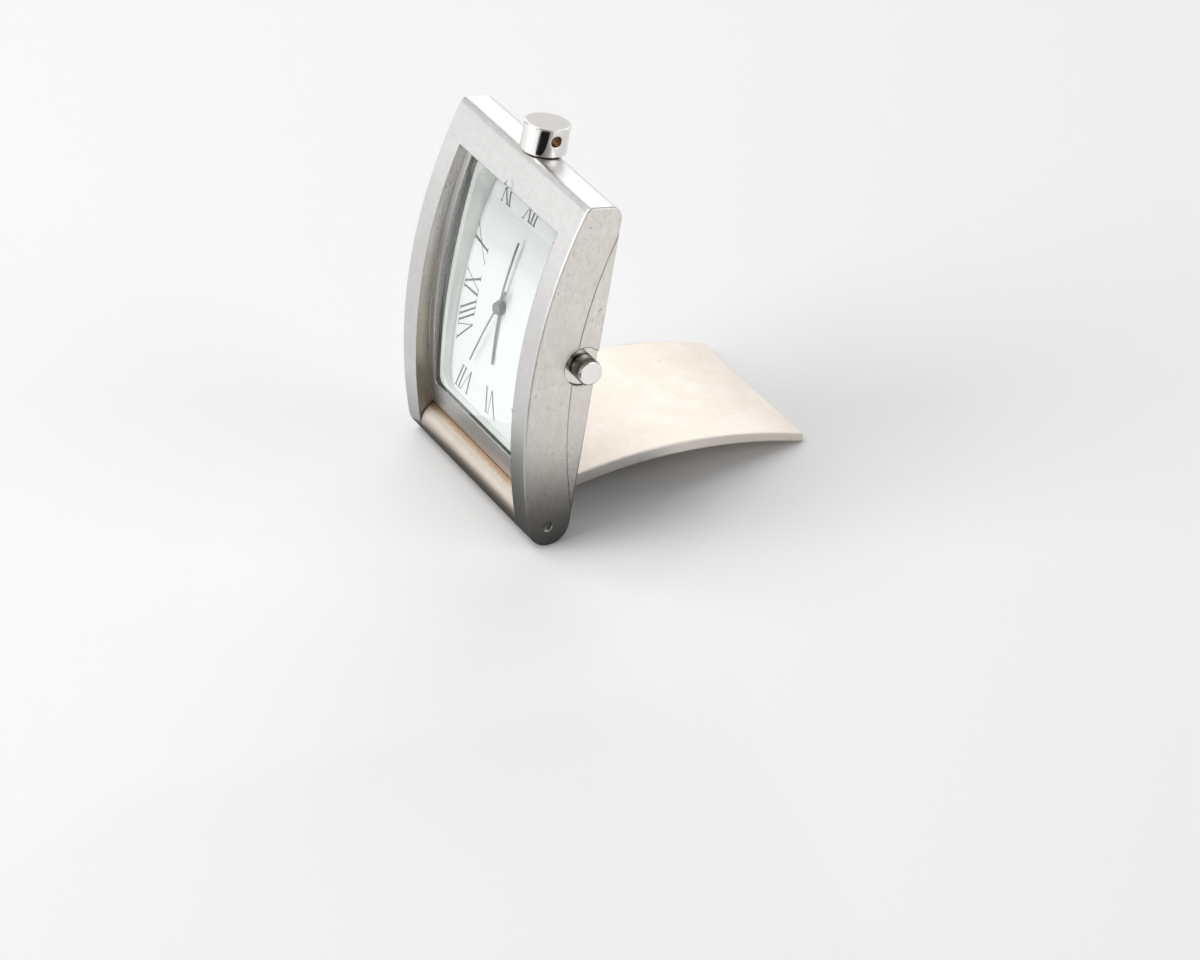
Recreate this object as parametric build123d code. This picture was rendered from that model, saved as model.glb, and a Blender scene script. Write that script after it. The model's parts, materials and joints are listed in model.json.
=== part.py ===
# Folding cover watch with a swivelling key ring knob. The cover swings right round under the case
# and becomes its stand. Millimetres, +Z up, crown on +X, dial towards -Y.
# The pieces are drawn in the case's own upright frame, whose origin is the middle of the hinge axis,
# with y the depth behind the axis and z the height above it. At the end everything is leaned back
# until the cheeks and the tip of the cover stand on one floor.
import os
from math import asin, atan2, cos, degrees, hypot, pi, radians, sin, sqrt

from build123d import *

# Case
case_width = 38.1
case_height = 50.0
cheek_width = 4.15
bezel_height = 5.35
front_depth = 6.25          # foremost line of the curved front, ahead of the hinge axis
back_depth = 3.35           # flat back, behind the hinge axis
foot_below = 0.1            # lowest line of the cheeks below the barrel
edge_round = 0.3
top_front_round = 1.2
top_rear_round = 1.9
notch_width = 2.4           # thumbnail notch in the bezel's inner edge
notch_rise = 2.3
notch_depth = 0.5
overrun = 1.0               # how far cuts run past the faces they open

# Seam between frame and rear cover
seam_ahead = 0.03           # foremost point of the seam, ahead of the hinge axis
seam_top_margin = 3.6       # where the seam meets the flat back, below the top
seam_bottom_rise = 1.85     # and above the hinge axis
seam_gap = 0.04

# Cover that folds round to be the stand
barrel_radius = 2.85
cover_thickness = 1.575     # at the middle of its length
cover_taper_shift = 1.44    # how far the inner arc's centre is raised, which thickens the hinge end
cover_gap = 0.15
cover_seat_gap = 0.3
barrel_gap = 0.2
stop_gap = 0.15
open_angle = 277.2

# Hinge pins and washers
pin_radius = 0.6
pin_depth = 4.2             # length of each pin inside the barrel
pin_fit = 0.03
pin_inset = 0.35            # pin's end below the cheek's side
pin_hole_bevel = 0.12
pin_dimple_radius = 0.3
pin_dimple_depth = 0.12
washer_radius = 2.1
washer_thickness = 0.12

# Crystal, dial ring and dial
side_ledge = 1.55           # frame's ledge beside, above and below the crystal
top_ledge = 0.55
lower_bar = 3.3
glass_corner = 0.6
dial_room = 1.7             # from the dial to the crystal's flat back
glass_clearance = 0.05
glass_gasket_thickness = 0.15
opening_side_step = 0.65     # step of the frame that the crystal's edge sits on
opening_end_step = 0.55
opening_corner = 1.2
ring_side_width = 1.05
ring_end_width = 0.55
window_corner = 2.3
fit_gap = 0.05
dial_thickness = 0.4
cavity_corner = 1.0
dial_foot_radius = 0.4
dial_foot_length = 1.2

# Inner wall of the frame and the pocket of the rear cover round it
cavity_side_step = 0.65      # cavity outside the crystal's side, and inside its end
cavity_end_step = 0.5
wall_side = 1.35
wall_end = 0.65
cover_gasket_thickness = 0.35
wall_fit = 0.05
rear_wall = 0.55            # back wall of the rear cover
cover_screw_head_radius = 0.95
cover_screw_head_height = 0.6
cover_screw_radius = 0.5
cover_screw_length = 3.0
cover_screw_inset = 1.75
cover_screw_from_end = 4.5   # from the end of the inner wall
slot_width = 0.25
slot_depth = 0.2

# Crown, its recess, tube, gasket and stem
stem_depth = 0.77           # crown axis behind the dial's back
crown_radius = 1.8
crown_proud = 2.1           # crown face outside the case's side
crown_round = 0.36
crown_cavity_radius = 1.32
crown_cavity_depth = 1.1
crown_lift = 0.25           # crown's skirt above the recess floor
crown_flutes = 32
flute_depth = 0.15
recess_radius = 2.87
recess_depth = 0.55
boss_gap = 0.06
tube_radius = 0.9
tube_bore = 0.52
tube_proud = 1.2            # tube above the recess floor
crown_gasket_thickness = 0.35
crown_gasket_lift = 0.1
stem_radius = 0.45
stem_square = 0.56
stem_square_length = 1.95
stem_collar = 0.2
stem_groove = 1.4
stem_groove_radius = 0.22
stem_start = 3.4
stem_end_depth = 0.5        # stem's end below the crown's face
clutch_radius = 0.7
clutch_start = 3.95
clutch_length = 1.1
clutch_groove = 0.3
clutch_groove_radius = 0.55
clutch_teeth = 12
clutch_tooth_depth = 0.2
square_fit = 0.03

# Key ring knob
knob_radius = 3.22
knob_height = 4.03
knob_depth = 0.8            # knob axis behind the hinge axis
knob_lift = 0.12
knob_edge = 0.08
hole_radius = 0.8
hole_rise = 2.38
knob_stem_radius = 1.0
knob_stem_fit = 0.06
clip_radius = 2.0
clip_thickness = 0.3
clip_groove_radius = 0.7
clip_gap = 0.03
clip_mouth = 1.3
knob_tail = 0.25            # stem below the clip
collar_radius = 1.6
collar_shake = 0.02
clip_pocket_half = 2.4
clip_pocket_height = 1.3
clip_pocket_rise = 0.85     # pocket floor above the dial cavity

# Movement
movement_depth = 2.2        # from the dial's back to the rear cover
movement_side_edge = 0.55
movement_end_edge = 0.3
movement_corner = 1.0
rim_width = 0.6
motion_space = 0.45         # between the dial and the main plate
plate_thickness = 0.3
train_space = 1.0           # between the main plate and the bridge
bridge_thickness = 0.25
bridge_edge = 0.64
bridge_board_gap = 0.15
bridge_end = 0.4
post_radius = 0.5
post_board_gap = 0.35
post_wheel_gap = 0.7
post_left_step = 0.7
post_left_side = 2.3
post_low_gap = 0.8
board_post_side = 1.3
board_post_rise = 2.9
screw_radius = 0.28
screw_head_radius = 0.55
screw_head_height = 0.1
screw_length = 0.75
pivot_radius = 0.07
pivot_fit = 0.03
arbor_radius = 0.1
end_shake = 0.02
gear_thickness = 0.14
gear_spacing = 0.08
motion_gap = 0.04
rotor_radius = 0.6
rotor_air_gap = 0.12
rotor_thickness = 0.42
stator_thickness = 0.3
stator_lift = 0.11
stator_gap = 0.2            # beside the third wheel
stator_width = 3.9
stator_half_height = 5.1
stator_leg = 2.3
stator_window_half_height = 3.8
coil_step = 3.2             # coil's axis from the stator's inner edge
coil_radius = 0.45
coil_length = 7.0
core_width = 0.5
core_thickness = 0.18
core_half_length = 5.1
core_pad_length = 1.2
core_pad_width = 1.4
core_screw_rise = 4.55
battery_radius = 2.9
battery_thickness = 1.25
battery_reach = 0.9         # battery's edge beyond the dial centre
battery_gap = 0.68          # between the centre wheel and the battery
battery_step_radius = 2.45
battery_step = 0.2
strap_out = 3.5             # strap screws from the battery's axis
strap_width = 1.3
strap_thickness = 0.08
board_width = 3.7
board_height = 7.2
board_gap = 0.43
board_slot_gap = 0.55
board_thickness = 0.2
board_lift = 0.4
chip_size = 1.4
chip_thickness = 0.3
can_radius = 0.5
can_length = 4.6
can_gap = 0.1
can_rise = 4.6
lever_lift = 0.55           # above the main plate
lever_thickness = 0.15
lever_half_width = 0.42
lever_back_step = 0.35
lever_groove_gap = 0.1
lever_drop = 1.9
lever_pin_radius = 0.2
lever_pin_length = 0.26
lever_post_radius = 0.25
yoke_lift = 0.82            # above the main plate
yoke_thickness = 0.1
yoke_half_width = 0.35
yoke_drop = 2.3
yoke_pin_radius = 0.1
stem_slot = 0.85            # half width of the slot that the stem runs in

# Wheels: teeth and pitch radii. Each pair shares its module, and the centre wheel also its centre distance.
seconds_pinion_teeth, third_teeth = 8, 60
third_pinion_teeth, centre_teeth = 8, 64
seconds_teeth, intermediate_pinion_teeth = 40, 10
intermediate_teeth, rotor_pinion_teeth = 60, 8
cannon_teeth, minute_teeth = 12, 36
minute_pinion_teeth, hour_teeth = 10, 40
third_radius = 2.1
seconds_radius = 2.0
intermediate_radius = 1.8
minute_radius = 1.35
third_direction = 110
intermediate_direction = 200
rotor_direction = 190
minute_direction = -60
tooth_tip_share = 0.8
tooth_root_share = 1.0
tooth_tip_width_share = 0.2
tooth_root_width_share = 0.62

# Hands
cannon_radius = 0.3
cannon_bore = 0.16
hour_pipe_radius = 0.52
hour_pipe_bore = 0.34
dial_hole_radius = 0.62
hand_thickness = 0.1
hour_hand_lift = 0.22
hand_step = 0.27
hour_hand_length = 7.9
hour_hand_width = 0.37
hour_boss_radius = 1.02
minute_hand_length = 9.4
minute_hand_width = 0.34
minute_boss_radius = 1.0
seconds_hand_length = 10.95
seconds_hand_width = 0.24
seconds_tail_length = 3.2
seconds_tail_width = 0.5
seconds_boss_radius = 0.8
seconds_boss_thickness = 0.26
minute_angle = 4.4
hour_angle = 177.2
seconds_angle = 207.6

# Places that follow from the sizes above
hinge_height = barrel_radius + foot_below
side = case_width / 2
inner_side = side - cheek_width
top = case_height - hinge_height
middle = case_height / 2 - hinge_height
bezel_edge = top - bezel_height
# The front arc is tangent to the barrel, so that the closed cover runs smoothly into it.
front_radius = (front_depth**2 + middle**2 - barrel_radius**2) / (2 * (front_depth - barrel_radius))
front_centre = front_radius - front_depth
seat_radius = front_radius - cover_thickness - cover_seat_gap
seat_middle = middle + cover_taper_shift
seam_half = (top - seam_top_margin - seam_bottom_rise) / 2
seam_middle = seam_bottom_rise + seam_half
seam_depth = back_depth + seam_ahead
seam_radius = (seam_half**2 + seam_depth**2) / (2 * seam_depth)
seam_centre = seam_radius - seam_ahead
cover_half_width = inner_side - cover_gap
barrel_half_length = cover_half_width
cover_tip = bezel_edge - cover_gap
# The round foot of the cheeks is tangent to the flat back and to the front arc.
foot_b = front_centre - back_depth - case_height / 2 + front_radius
foot_c = (front_centre - back_depth)**2 + (case_height / 2)**2 - front_radius**2
foot_radius = sqrt(foot_b**2 - foot_c) - foot_b
foot_y = back_depth - foot_radius
foot_z = foot_radius - hinge_height
pocket_depth = back_depth - rear_wall
wall_back = pocket_depth - cover_gasket_thickness
dial_back = pocket_depth - movement_depth
dial_front = dial_back - dial_thickness
glass_back = dial_front - dial_room
glass_seat = glass_back + glass_gasket_thickness
glass_top = bezel_edge - top_ledge
glass_bottom = barrel_radius + barrel_gap + lower_bar
glass_half_width = inner_side - side_ledge
glass_half_height = (glass_top - glass_bottom) / 2
dial_height = (glass_top + glass_bottom) / 2
opening_half_width = glass_half_width - opening_side_step
opening_half_height = glass_half_height - opening_end_step
window_half_width = opening_half_width - ring_side_width
window_half_height = opening_half_height - ring_end_width
cavity_half_width = glass_half_width + cavity_side_step
cavity_half_height = glass_half_height - cavity_end_step
plate_front = dial_back + motion_space
plate_back = plate_front + plate_thickness
bridge_front = plate_back + train_space
bridge_back = bridge_front + bridge_thickness
board_front = plate_back + board_lift
lever_front = plate_back + lever_lift
yoke_front = plate_back + yoke_lift
crown_depth = dial_back + stem_depth
recess_floor = side - recess_depth
wall_half_width = cavity_half_width + wall_side
wall_half_height = cavity_half_height + wall_end
cavity_top = dial_height + cavity_half_height
stem_end = side + crown_proud - stem_end_depth
groove_start = stem_start + stem_square_length + stem_collar
crown_start = recess_floor + crown_lift
knob_bottom = top + knob_lift
clip_pocket_floor = cavity_top + clip_pocket_rise
clip_pocket_top = clip_pocket_floor + clip_pocket_height
clip_bottom = clip_pocket_top - clip_gap - clip_thickness


def polar(distance, direction):
    """Place in the dial's plane at a distance and direction from a wheel's axis."""
    return distance * cos(radians(direction)), distance * sin(radians(direction))


def beyond(start, distance, direction):
    dx, dz = polar(distance, direction)
    return start[0] + dx, start[1] + dz


third_module = 2 * third_radius / third_teeth
centre_module = third_module * (seconds_pinion_teeth + third_teeth) / (third_pinion_teeth + centre_teeth)
centre_radius = centre_module * centre_teeth / 2
seconds_module = 2 * seconds_radius / seconds_teeth
intermediate_module = 2 * intermediate_radius / intermediate_teeth
minute_module = 2 * minute_radius / minute_teeth
hour_module = minute_module * (cannon_teeth + minute_teeth) / (minute_pinion_teeth + hour_teeth)
third_place = polar(third_module * (seconds_pinion_teeth + third_teeth) / 2, third_direction)
intermediate_place = polar(seconds_module * (seconds_teeth + intermediate_pinion_teeth) / 2,
                           intermediate_direction)
rotor_place = beyond(intermediate_place,
                     intermediate_module * (intermediate_teeth + rotor_pinion_teeth) / 2, rotor_direction)
minute_place = polar(minute_module * (cannon_teeth + minute_teeth) / 2, minute_direction)
third_tip = third_radius + tooth_tip_share * third_module
third_top = third_place[1] + third_tip
stator_right = third_tip - third_place[0] + stator_gap
stator_left = stator_right + stator_width
stator_window = stator_right + stator_leg
coil_offset = stator_right + coil_step
battery_side = battery_radius - battery_reach
battery_drop = centre_radius + battery_gap + battery_radius
battery_place = (battery_side, -battery_drop)
board_left = centre_radius + board_gap
board_side = board_left + board_width / 2
board_rise = stem_slot + board_slot_gap + board_height / 2
can_side = board_side + board_width / 2 + can_gap + can_radius
movement_width = 2 * (max(stator_left, can_side + can_radius) + movement_side_edge)
movement_height = 2 * (battery_drop + battery_radius + movement_end_edge)
dial_foot_out = (movement_height / 2 + cavity_half_height) / 2
lever_pin_place = (groove_start + stem_groove - lever_groove_gap - lever_pin_radius, 0)
lever_place = (lever_pin_place[0] - lever_back_step, -lever_drop)
yoke_place = (clutch_start + clutch_length / 2, -yoke_drop)
post_right_side = board_left - post_board_gap - post_radius
post_right_rise = third_top + post_wheel_gap + post_radius
post_left_rise = post_right_rise + post_left_step
post_low_drop = intermediate_radius + post_low_gap + post_radius - intermediate_place[1]
bridge_left = rotor_radius + bridge_edge - rotor_place[0]
bridge_right = board_left - bridge_board_gap
bridge_top = post_left_rise + post_radius + bridge_end
bridge_bottom = post_low_drop + post_radius + bridge_end
cover_screw_rise = wall_half_height - cover_screw_from_end
bridge_posts = [(post_right_side, post_right_rise), (-post_left_side, post_left_rise),
                (-post_left_side, -post_low_drop)]
core_posts = [(-coil_offset, core_screw_rise), (-coil_offset, -core_screw_rise)]
board_posts = [(board_side - board_post_side, board_rise - board_post_rise),
               (board_side + board_post_side, board_rise + board_post_rise)]
strap_posts = [(battery_side - strap_out, -battery_drop), (battery_side + strap_out, -battery_drop)]


# Drawing helpers
def slab(shape, front, back):
    """Solid between two depths, from a shape drawn about the dial centre."""
    plane = Plane(origin=(0, back, dial_height), x_dir=(1, 0, 0), z_dir=(0, -1, 0))
    return extrude(plane * shape, back - front)


def across(profile, start, end):
    """Solid between two places along x, from a profile drawn in depth and height."""
    return extrude(Plane(origin=(start, 0, 0), x_dir=(0, 1, 0), z_dir=(1, 0, 0)) * profile, end - start)


def window(half_width, half_height, corner, front, back):
    return slab(RectangleRounded(2 * half_width, 2 * half_height, corner), front, back)


def disc(place, radius, front, back):
    return slab(Pos(*place) * Circle(radius), front, back)


def rod(depth, height, radius, start, end):
    """Round bar along x."""
    return across(Pos(depth, height) * Circle(radius), start, end)


def post(radius, bottom, high):
    """Round bar along z on the knob's axis."""
    upright = (Align.CENTER, Align.CENTER, Align.MIN)
    return Pos(0, knob_depth, bottom) * Cylinder(radius, high - bottom, align=upright)


def box(start, end):
    """Box between two opposite corners."""
    size = [b - a for a, b in zip(start, end)]
    return Pos(*start) * Box(*size, align=(Align.MIN, Align.MIN, Align.MIN))


def toothed(teeth, root, tip, phase=0):
    """Outline of a toothed disc. The first tooth points at the phase in degrees."""
    step = 2 * pi / teeth
    points = []
    for tooth in range(teeth):
        for radius, share in ((root, -tooth_root_width_share), (tip, -tooth_tip_width_share),
                              (tip, tooth_tip_width_share), (root, tooth_root_width_share)):
            angle = radians(phase) + step * (tooth + share / 2)
            points.append((radius * cos(angle), radius * sin(angle)))
    return make_face(Polyline(*points, close=True))


def gear(place, teeth, module, front, phase):
    pitch = module * teeth / 2
    outline = toothed(teeth, pitch - module * tooth_root_share, pitch + module * tooth_tip_share, phase)
    return slab(Pos(*place) * outline, front, front + gear_thickness)


def meshing(first, first_teeth, second, second_teeth, module, front):
    """Two toothed discs in one plane, a tooth of the first in a gap of the second."""
    direction = degrees(atan2(second[1] - first[1], second[0] - first[0]))
    return (gear(first, first_teeth, module, front, direction),
            gear(second, second_teeth, module, front, direction + 180 + 180 / second_teeth))


def bar(start, end, half_width, front, back):
    """Round-ended flat bar between two places in the dial's plane."""
    length = hypot(end[0] - start[0], end[1] - start[1])
    turn = degrees(atan2(end[1] - start[1], end[0] - start[0]))
    shape = Pos(*start) * Rot(0, 0, turn) * Pos(length / 2, 0) * SlotCenterToCenter(length, 2 * half_width)
    return slab(shape, front, back)


def on_case(half_length):
    """The case's solid outline between two places either side of its middle, before anything is cut."""
    top_front = (front_centre - sqrt(front_radius**2 - (top - middle)**2), top)
    reach = hypot(foot_y - front_centre, foot_z - middle)
    touch = (foot_y + foot_radius * (foot_y - front_centre) / reach,
             foot_z + foot_radius * (foot_z - middle) / reach)
    edges = [
        ThreePointArc(top_front, (-front_depth, middle), touch),
        ThreePointArc(touch, (foot_y, foot_z - foot_radius), (back_depth, foot_z)),
        Line((back_depth, foot_z), (back_depth, top)),
        Line((back_depth, top), top_front),
    ]
    outline = make_face(edges)
    outline = fillet(outline.vertices().group_by(Axis.Y)[-1].sort_by(Axis.X)[-1], top_rear_round)
    outline = fillet(outline.vertices().group_by(Axis.Y)[-1].sort_by(Axis.X)[0], top_front_round)
    return across(outline, -half_length, half_length)


pieces = {}

# Case: one outline, split by the seam into the frame and the rear cover
outline_body = on_case(side)
end_edges = [edge for edge in outline_body.edges() if abs(abs(edge.center().X) - side) < edge_round / 2]
outline_body = fillet(end_edges, edge_round)
behind_seam = rod(seam_centre, seam_middle, seam_radius, -side - overrun, side + overrun)
rest_turn = radians(open_angle)
rest_centre = (front_centre * cos(rest_turn) - middle * sin(rest_turn),
               front_centre * sin(rest_turn) + middle * cos(rest_turn))
cover_space = (rod(0, 0, barrel_radius + barrel_gap, -inner_side, inner_side)
               + rod(rest_centre[0], rest_centre[1], front_radius + stop_gap, -inner_side, inner_side))

frame = outline_body - behind_seam
frame += window(wall_half_width, wall_half_height, cavity_corner, 0, wall_back)
boss = rod(crown_depth, dial_height, recess_radius - boss_gap, cavity_half_width + fit_gap, recess_floor)
boss -= box((0, wall_back, 0), (wall_half_width + boss_gap, back_depth + recess_radius, top))
frame += boss & outline_body
recess = make_face(Polyline((-front_depth - overrun, bezel_edge), (foot_y, bezel_edge),
                            (foot_y, -hinge_height - overrun),
                            (-front_depth - overrun, -hinge_height - overrun), close=True))
recess -= Pos(front_centre, seat_middle) * Circle(seat_radius)
frame -= across(recess, -inner_side, inner_side)
frame -= cover_space
frame -= window(glass_half_width + glass_clearance, glass_half_height + glass_clearance, glass_corner,
                -front_depth - overrun, glass_seat)
frame -= window(opening_half_width, opening_half_height, opening_corner, glass_seat - overrun, dial_front)
frame -= window(cavity_half_width, cavity_half_height, cavity_corner, dial_front, back_depth + overrun)
frame -= window(wall_half_width, wall_half_height, cavity_corner, wall_back, back_depth + overrun)
frame -= rod(crown_depth, dial_height, recess_radius, recess_floor, side + overrun)
frame -= rod(crown_depth, dial_height, tube_radius, 0, side)
notch_centre = front_centre - sqrt(front_radius**2 - (bezel_edge - middle)**2)
notch = Pos(0, notch_centre, bezel_edge) * scale(Sphere(1), (notch_width / 2, notch_depth, notch_rise))
frame -= notch
for hand in (-1, 1):
    frame -= rod(0, 0, pin_radius, *sorted((hand * (inner_side - overrun), hand * (side + overrun))))
    bevel = Cone(pin_radius, pin_radius + pin_hole_bevel, pin_hole_bevel)
    frame -= Pos(hand * (side - pin_hole_bevel / 2), 0, 0) * Rot(0, hand * 90, 0) * bevel
frame -= post(knob_stem_radius + knob_stem_fit, clip_pocket_floor, top + overrun)
frame -= box((-clip_pocket_half, knob_depth - clip_pocket_half, clip_pocket_floor),
             (clip_pocket_half, back_depth + overrun, clip_pocket_top))

rear = outline_body & rod(seam_centre, seam_middle, seam_radius - seam_gap, -side - overrun, side + overrun)
rear -= window(wall_half_width + wall_fit, wall_half_height + wall_fit, cavity_corner, -overrun,
               pocket_depth)
rear -= rod(crown_depth, dial_height, recess_radius, wall_half_width, side + overrun)
rear -= cover_space

# Screws of the rear cover, sunk in its back
def cover_screw(place):
    head = disc(place, cover_screw_head_radius, back_depth - cover_screw_head_height, back_depth)
    shank = disc(place, cover_screw_radius, back_depth - cover_screw_length, back_depth)
    return head, shank


cover_screws = []
for hand in (-1, 1):
    for high in (-1, 1):
        place = (hand * (side - cover_screw_inset), high * cover_screw_rise)
        head, shank = cover_screw(place)
        frame -= shank
        rear -= head
        rear -= shank
        slot = slab(Pos(*place) * Rectangle(2 * cover_screw_head_radius, slot_width),
                    back_depth - slot_depth, back_depth + overrun)
        cover_screws.append(head + shank - slot)
pieces["case_frame"] = frame
pieces["rear_cover"] = rear
pieces["rear_cover_screw"] = cover_screws
gasket = window(wall_half_width - wall_fit, wall_half_height - wall_fit, cavity_corner, wall_back,
                pocket_depth)
gasket -= window(cavity_half_width, cavity_half_height, cavity_corner, 0, back_depth)
pieces["rear_cover_gasket"] = gasket

# Crystal, its gasket, the ring round the dial, and the dial
glass = window(glass_half_width, glass_half_height, glass_corner, -front_depth, glass_back)
glass &= rod(front_centre, seat_middle, seat_radius, -side, side)
pieces["crystal"] = glass
seat = window(glass_half_width, glass_half_height, glass_corner, glass_back, glass_seat)
seat -= window(opening_half_width, opening_half_height, opening_corner, glass_back, glass_seat)
pieces["crystal_gasket"] = seat
ring = window(opening_half_width - fit_gap, opening_half_height - fit_gap, opening_corner, glass_seat,
              dial_front)
ring -= window(window_half_width, window_half_height, window_corner, glass_seat, dial_front)
pieces["dial_ring"] = ring
dial = window(cavity_half_width - fit_gap, cavity_half_height - fit_gap, cavity_corner, dial_front,
              dial_back)
dial -= disc((0, 0), dial_hole_radius, dial_front, dial_back)
foot_places = [(0, -dial_foot_out), (0, dial_foot_out)]
feet = [disc(place, dial_foot_radius, dial_back, dial_back + dial_foot_length) for place in foot_places]
for foot in feet:
    dial += foot
pieces["dial"] = dial

# Movement holder, plate and bridge
holder = window(cavity_half_width - fit_gap, cavity_half_height - fit_gap, cavity_corner, dial_back,
                pocket_depth)
holder -= window(movement_width / 2, movement_height / 2, movement_corner, dial_back, pocket_depth)
for foot in feet:
    holder -= foot
holder -= rod(crown_depth, dial_height, tube_bore, 0, side)
pieces["movement_holder"] = holder

plate = window(movement_width / 2, movement_height / 2, movement_corner, dial_back, plate_back)
plate -= window(movement_width / 2 - rim_width, movement_height / 2 - rim_width, movement_corner, dial_back,
                plate_front)
for place in bridge_posts:
    plate += disc(place, post_radius, plate_back, bridge_front)
for place in core_posts:
    plate += disc(place, post_radius, plate_back, plate_back + stator_lift)
for place in board_posts:
    plate += disc(place, post_radius, plate_back, board_front)
battery_back = plate_back + battery_thickness
for place in strap_posts:
    plate += disc(place, post_radius, plate_back, battery_back)
plate += disc(lever_place, lever_post_radius, plate_back, lever_front + lever_thickness + fit_gap)
plate += disc(yoke_place, lever_post_radius, plate_back, yoke_front + yoke_thickness)
plate += disc(minute_place, arbor_radius, dial_back + motion_gap, plate_front)
plate -= slab(Pos((stem_start + movement_width / 2) / 2 - fit_gap, 0)
              * Rectangle(movement_width / 2 - stem_start + overrun, 2 * stem_slot), dial_back, plate_back)
for place in (third_place, intermediate_place, rotor_place):
    plate -= disc(place, pivot_radius + pivot_fit, plate_front, plate_back)
plate -= disc((0, 0), cannon_radius + pivot_fit, plate_front, plate_back)

bridge = slab(Pos((bridge_right - bridge_left) / 2, (bridge_top - bridge_bottom) / 2)
              * RectangleRounded(bridge_left + bridge_right, bridge_top + bridge_bottom, movement_corner),
              bridge_front, bridge_back)
bridge -= disc(battery_place, battery_radius + fit_gap, bridge_front, bridge_back)
for place in ((0, 0), third_place, intermediate_place, rotor_place):
    bridge -= disc(place, pivot_radius + pivot_fit, bridge_front, bridge_back)


# Movement screws, all alike
def movement_screw(place, seat):
    shank = disc(place, screw_radius, seat - screw_length, seat)
    head = disc(place, screw_head_radius, seat, seat + screw_head_height)
    slot = Pos(*place) * Rectangle(2 * screw_head_radius, screw_radius / 2)
    head -= slab(slot, seat + screw_head_height / 2, seat + overrun)
    return shank, head


movement_screws = []
stator_front = plate_back + stator_lift
stator_back = stator_front + stator_thickness
core_back = stator_back + core_thickness
board_back = board_front + board_thickness
screw_seats = ([(place, bridge_back - screw_head_height) for place in bridge_posts]
               + [(place, core_back) for place in core_posts]
               + [(place, board_back) for place in board_posts]
               + [(place, battery_back + strap_thickness) for place in strap_posts])
for place, seat in screw_seats:
    shank, head = movement_screw(place, seat)
    plate -= shank
    bridge -= shank
    bridge -= disc(place, screw_head_radius + fit_gap, seat, seat + overrun)
    movement_screws.append(shank + head)
pieces["main_plate"] = plate
pieces["train_bridge"] = bridge
pieces["movement_screw"] = movement_screws

# Coil, core, stator, battery, strap and circuit board
core = slab(Pos(-coil_offset, 0) * Rectangle(core_width, 2 * core_half_length), stator_back, core_back)
for high in (-1, 1):
    core += slab(Pos(-coil_offset, high * (core_half_length - core_pad_length / 2))
                 * Rectangle(core_pad_width, core_pad_length), stator_back, core_back)
coil_axis = (stator_back + core_back) / 2
winding = Pos(-coil_offset, coil_axis, dial_height) * Cylinder(coil_radius, coil_length)
winding -= core
stator = slab(Pos(-(stator_left + stator_right) / 2, 0)
              * Rectangle(stator_left - stator_right, 2 * stator_half_height), stator_front, stator_back)
stator -= slab(Pos(-stator_window - (stator_left - stator_window), 0)
               * Rectangle(2 * (stator_left - stator_window), 2 * stator_window_half_height),
               stator_front, stator_back)
stator -= disc(rotor_place, rotor_radius + rotor_air_gap, stator_front, stator_back)
for place in core_posts:
    hole = disc(place, screw_radius, stator_front, core_back)
    core -= hole
    stator -= hole
pieces["coil"] = winding
pieces["coil_core"] = core
pieces["stator"] = stator
pieces["battery"] = (disc(battery_place, battery_step_radius, plate_back, battery_back)
                     + disc(battery_place, battery_radius, plate_back + battery_step, battery_back))
strap = bar(strap_posts[0], strap_posts[1], strap_width / 2, battery_back, battery_back + strap_thickness)
for place in strap_posts:
    strap -= disc(place, screw_radius, battery_back, battery_back + strap_thickness)
pieces["battery_strap"] = strap
board = slab(Pos(board_side, board_rise) * Rectangle(board_width, board_height), board_front, board_back)
for place in board_posts:
    board -= disc(place, screw_radius, board_front, board_back)
pieces["circuit_board"] = board
pieces["timing_chip"] = slab(Pos(board_side, board_rise) * Rectangle(chip_size, chip_size),
                             board_back, board_back + chip_thickness)
can_place = Pos(can_side, plate_back + can_radius, dial_height + can_rise)
pieces["quartz_can"] = can_place * Cylinder(can_radius, can_length)

# Going train, from the motor to the seconds arbor and the centre wheel
level_centre = plate_back + end_shake
level_third = level_centre + gear_thickness + gear_spacing
level_seconds = level_third + gear_thickness + gear_spacing
level_intermediate = level_seconds + gear_thickness + gear_spacing
level_hour = dial_back + motion_gap
level_minute = level_hour + gear_thickness + gear_spacing
centre = (0, 0)
seconds_pinion, third_wheel = meshing(centre, seconds_pinion_teeth, third_place, third_teeth, third_module,
                                      level_third)
third_pinion, centre_wheel = meshing(third_place, third_pinion_teeth, centre, centre_teeth, centre_module,
                                     level_centre)
intermediate_pinion, seconds_wheel = meshing(intermediate_place, intermediate_pinion_teeth, centre,
                                             seconds_teeth, seconds_module, level_seconds)
rotor_pinion, intermediate_wheel = meshing(rotor_place, rotor_pinion_teeth, intermediate_place,
                                           intermediate_teeth, intermediate_module, level_intermediate)
cannon_leaves, minute_wheel = meshing(centre, cannon_teeth, minute_place, minute_teeth, minute_module,
                                      level_minute)
minute_pinion, hour_wheel = meshing(minute_place, minute_pinion_teeth, centre, hour_teeth, hour_module,
                                    level_hour)


def arbor(place):
    """Arbor with a pivot in the plate and a pivot in the bridge."""
    body = disc(place, arbor_radius, plate_back + end_shake, bridge_front - end_shake)
    return body + disc(place, pivot_radius, plate_front, bridge_back)


rotor_middle = (stator_front + stator_back) / 2
pieces["rotor"] = (arbor(rotor_place) + rotor_pinion
                   + disc(rotor_place, rotor_radius, rotor_middle - rotor_thickness / 2,
                          rotor_middle + rotor_thickness / 2))
pieces["intermediate_wheel"] = arbor(intermediate_place) + intermediate_pinion + intermediate_wheel
pieces["third_wheel"] = arbor(third_place) + third_pinion + third_wheel

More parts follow.
